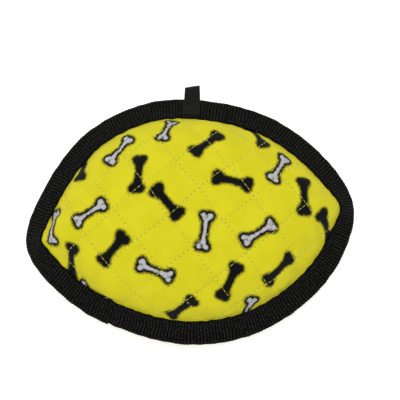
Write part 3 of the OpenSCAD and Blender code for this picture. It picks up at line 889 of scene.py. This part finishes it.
def hang_loop():
    centre, tangent, out, up = loop_frame()
    line = ribbon_line()
    steps = np.gradient(line, axis=0)
    steps /= np.linalg.norm(steps, axis=1, keepdims=True)
    square = np.stack([-steps[:, 1], steps[:, 0]], 1)
    across = np.linspace(-1, 1, 25)
    half_thick = RIBBON / 2 * (0.25 + 0.75 * (1 - np.abs(across) ** 12))
    length = length_along(line)
    rings = []
    for p, n, s in zip(line, square, length):
        free = smooth_step(p[0], 0, FOLD_R + LOOP_REACH)
        ripple = 0.05 * np.sin(s * 2 * math.pi / 2.3)
        half_width = RIBBON_WIDTH / 2 + ripple
        top = [(w * half_width, h + 0.06 * math.cos(w * 5)) for w, h in zip(across, half_thick)]
        low = [(w * half_width, -h) for w, h in zip(across, half_thick)][::-1]
        rings.append([
            centre + tangent * (w * (1 - LOOP_TAPER * free) + 1.0 - 0.5 * free)
            + out * (p[0] + n[0] * h + free * (LOOP_SLANT * w - 0.7)) + up * (p[1] + n[1] * h)
            for w, h in top + low])
    rings = np.array(rings)
    count, columns = rings.shape[:2]
    faces = ring_faces(count, columns, 0, False).tolist()
    faces += [list(range(columns))[::-1], list(range((count - 1) * columns, count * columns))]
    width = np.concatenate([across, across[::-1]]) * RIBBON_WIDTH / 2
    down, side = np.broadcast_arrays(length[:, None], width)
    place = np.stack([down, side, 0 * side], -1).reshape(-1, 3)
    return mesh_piece("ribbon_hang_loop", rings.reshape(-1, 3), faces, ribbon_material(), {"web": place})


loop = hang_loop()
loop_centre, loop_tangent, loop_out, loop_up = loop_frame()
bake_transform(loop)
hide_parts("hang_loop", "hang_loop_ends")
RIBBON_LENGTH = length_along(ribbon_line())[-1]


TACK_ROWS = (-4.5, -11.5)
TACKS_IN_ROW, FIRST_TACK, TACK_PITCH, TACK_HALF = 6, 2.4, 1.75, 0.65


def tacking_stitches(name):
    """Tacking stitches in rows across both sewn legs of the ribbon."""
    starts, ends, normals = [], [], []
    for side, _ in SIDES:
        for place in TACK_ROWS:
            for k in range(TACKS_IN_ROW):
                w = -RIBBON_WIDTH / 2 + FIRST_TACK + TACK_PITCH * k
                up = loop_up * side * (FOLD_R + LEG_LIFT + RIBBON + 0.1)
                base = loop_centre + loop_out * place + up
                starts.append(base + loop_tangent * (w - TACK_HALF))
                ends.append(base + loop_tangent * (w + TACK_HALF))
                normals.append(loop_up * side)
    starts, ends, normals = np.array(starts), np.array(ends), np.array(normals)
    return stitches_piece(name, starts, ends, normals, 0.2, 0.1, black_thread)


attach(tacking_stitches("loop_tacking_stitches"), "hang_loop_stitching")


# ---- seam inside the binding, pocket and squeaker ------------------------------------------------

SEAM_ROW, SEAM_STITCHES, POCKET_STITCHES = 8, 200, 48
CAP_TRAVEL, BELLOWS, BASE_TOP = 9, 15, 29.5
BELLOWS_R, PLEAT_DEPTH, PLEATS, BELLOWS_WALL = 17.6, 2.6, 3, 0.8


def panel_seam():
    def along(t):
        return SEAM_ROW + 0 * t

    starts, ends, normals = rim_stitches(SEAM_STITCHES, along, 0, FRONT)
    return stitches_piece("panel_seam_stitches", starts, ends, normals, 0.24, 0.0, seam_thread)


def pocket_seam():
    step = 2 * math.pi / POCKET_STITCHES
    starts, ends, normals = [], [], []
    for side, _ in SIDES:
        z = SEAM_Z + side * (GAP + POCKET_CLOTH + 0.15)
        for k in range(POCKET_STITCHES):
            for share, out in ((0.15, starts), (0.85, ends)):
                turn = (k + share) * step
                out.append((POCKET_SEAM_R * math.cos(turn), POCKET_SEAM_R * math.sin(turn), z))
            normals.append((0, 0, side))
    starts, ends, normals = np.array(starts), np.array(ends), np.array(normals)
    return stitches_piece("pocket_seam_stitches", starts, ends, normals, 0.2, 0.1, seam_thread)


def bellows_piece(material):
    """Soft pleated wall with rounded folds, open at both ends."""
    rows, columns = 61, 144
    z = np.linspace(0.06, BELLOWS - 0.06, rows)
    wave = 0.5 - 0.5 * np.cos(2 * math.pi * PLEATS * z / BELLOWS)
    wave = np.clip(wave * 1.1 - 0.05, 0, 1)
    out_r = BELLOWS_R - PLEAT_DEPTH * wave
    r = np.concatenate([out_r, (out_r - BELLOWS_WALL)[::-1]])
    z = BASE_TOP + np.concatenate([z, z[::-1]])
    turn = np.arange(columns) * 2 * math.pi / columns
    rings = np.stack([r[:, None] * np.cos(turn), r[:, None] * np.sin(turn), z[:, None] + 0 * turn], -1)
    return mesh_piece("soft_bellows", rings.reshape(-1, 3), tube_faces(2 * rows, columns), material)


attach(panel_seam(), "panel_seam_stitching")
attach(pocket_seam(), "squeaker_pocket_stitching")

bellows_plastic = plastic_material("bellows_plastic", (0.72, 0.74, 0.76, 1), (0.80, 0.82, 0.84, 1), 0.35)
bellows = bellows_piece(bellows_plastic)
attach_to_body(bellows, "toy")
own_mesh(bellows)
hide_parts("squeaker_bellows")

squeaker = plastic_material("squeaker_plastic", (0.70, 0.74, 0.78, 1), (0.80, 0.83, 0.86, 1), 0.3)
reed_holder = plastic_material("reed_holder_plastic", (0.45, 0.60, 0.74, 1), (0.52, 0.66, 0.80, 1), 0.35)
reed_film = plastic_material("reed_film", (0.62, 0.62, 0.64, 1), (0.74, 0.74, 0.76, 1), 0.25)
for node, material, slot_name in (("squeaker_base", squeaker, "squeaker_plastic"),
                                  ("squeaker_top", squeaker, "squeaker_plastic"),
                                  ("squeaker_reed_holder", reed_holder, "reed_holder_plastic"),
                                  ("squeaker_reed", reed_film, "reed_film")):
    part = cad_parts[node]
    part.data.materials.clear()
    part.data.materials.append(material)


# ---- camera, light and floor ---------------------------------------------------------------------

CAMERA_TILT, CAMERA_ROLL, CAMERA_DISTANCE = 8, 6.5, 950
AIM_X, AIM_Y, AIM_Z = 9.75, 15.6, 27
LENS, SENSOR_WIDTH = 110.3, 36
FLOOR_HALF = 4000


def set_camera():
    tilt, roll = math.radians(CAMERA_TILT), math.radians(CAMERA_ROLL)
    away = Vector((0, -math.sin(tilt), math.cos(tilt)))
    place = (Vector((0, 0, AIM_Z)) + away * CAMERA_DISTANCE) * MM
    aim = Vector((AIM_X, AIM_Y, AIM_Z)) * MM
    back = (place - aim).normalized()
    right = Vector((math.sin(roll), math.cos(roll), 0)).cross(back).normalized()
    camera = bpy.data.objects.new("camera", bpy.data.cameras.new("camera"))
    camera.data.lens = LENS
    camera.data.sensor_width = SENSOR_WIDTH
    camera.data.clip_end = 10
    turned = Matrix((right, back.cross(right), back)).transposed().to_4x4()
    camera.matrix_world = Matrix.Translation(place) @ turned
    bpy.context.scene.collection.objects.link(camera)
    bpy.context.scene.camera = camera


def area_light(name, place, size, power):
    """A round white lamp that shines at the frame's origin."""
    light = bpy.data.lights.new(name, "AREA")
    light.shape = "DISK"
    light.size = size
    light.energy = power
    lamp = bpy.data.objects.new(name, light)
    lamp.location = place
    lamp.rotation_euler = Vector(place).to_track_quat("Z", "Y").to_euler()
    bpy.context.scene.collection.objects.link(lamp)


def pale_floor():
    material, tree, shader = new_material("pale_floor")
    plain_settings(shader, 0.9, specular=0.1)
    where = add(tree, "ShaderNodeTexCoord").outputs["Object"]
    speck = noise(tree, where, 9.0, 3.0)
    colour = mix(tree, ramp(tree, speck, 0.3, 0.7), (0.90, 0.90, 0.90, 1), (0.93, 0.93, 0.93, 1))
    tree.links.new(colour, shader.inputs["Base Color"])
    tree.links.new(colour, shader.inputs["Emission Color"])
    shader.inputs["Emission Strength"].default_value = 0.5
    corners = [(x * FLOOR_HALF, y * FLOOR_HALF, 0) for x, y in ((-1, -1), (1, -1), (1, 1), (-1, 1))]
    floor = mesh_piece("floor", corners, [(0, 1, 2, 3)], material)


def studio():
    world = bpy.data.worlds.new("studio")
    world.use_nodes = True
    background = world.node_tree.nodes["Background"]
    background.inputs["Color"].default_value = (1, 1, 1, 1)
    background.inputs["Strength"].default_value = 0.45
    bpy.context.scene.world = world
    bpy.context.scene.view_settings.view_transform = "Standard"
    area_light("overhead", (0.1, 0.25, 1.7), 1.3, 20)
    area_light("side", (-1.2, -0.5, 1.3), 0.9, 5)


set_camera()
studio()
pale_floor()
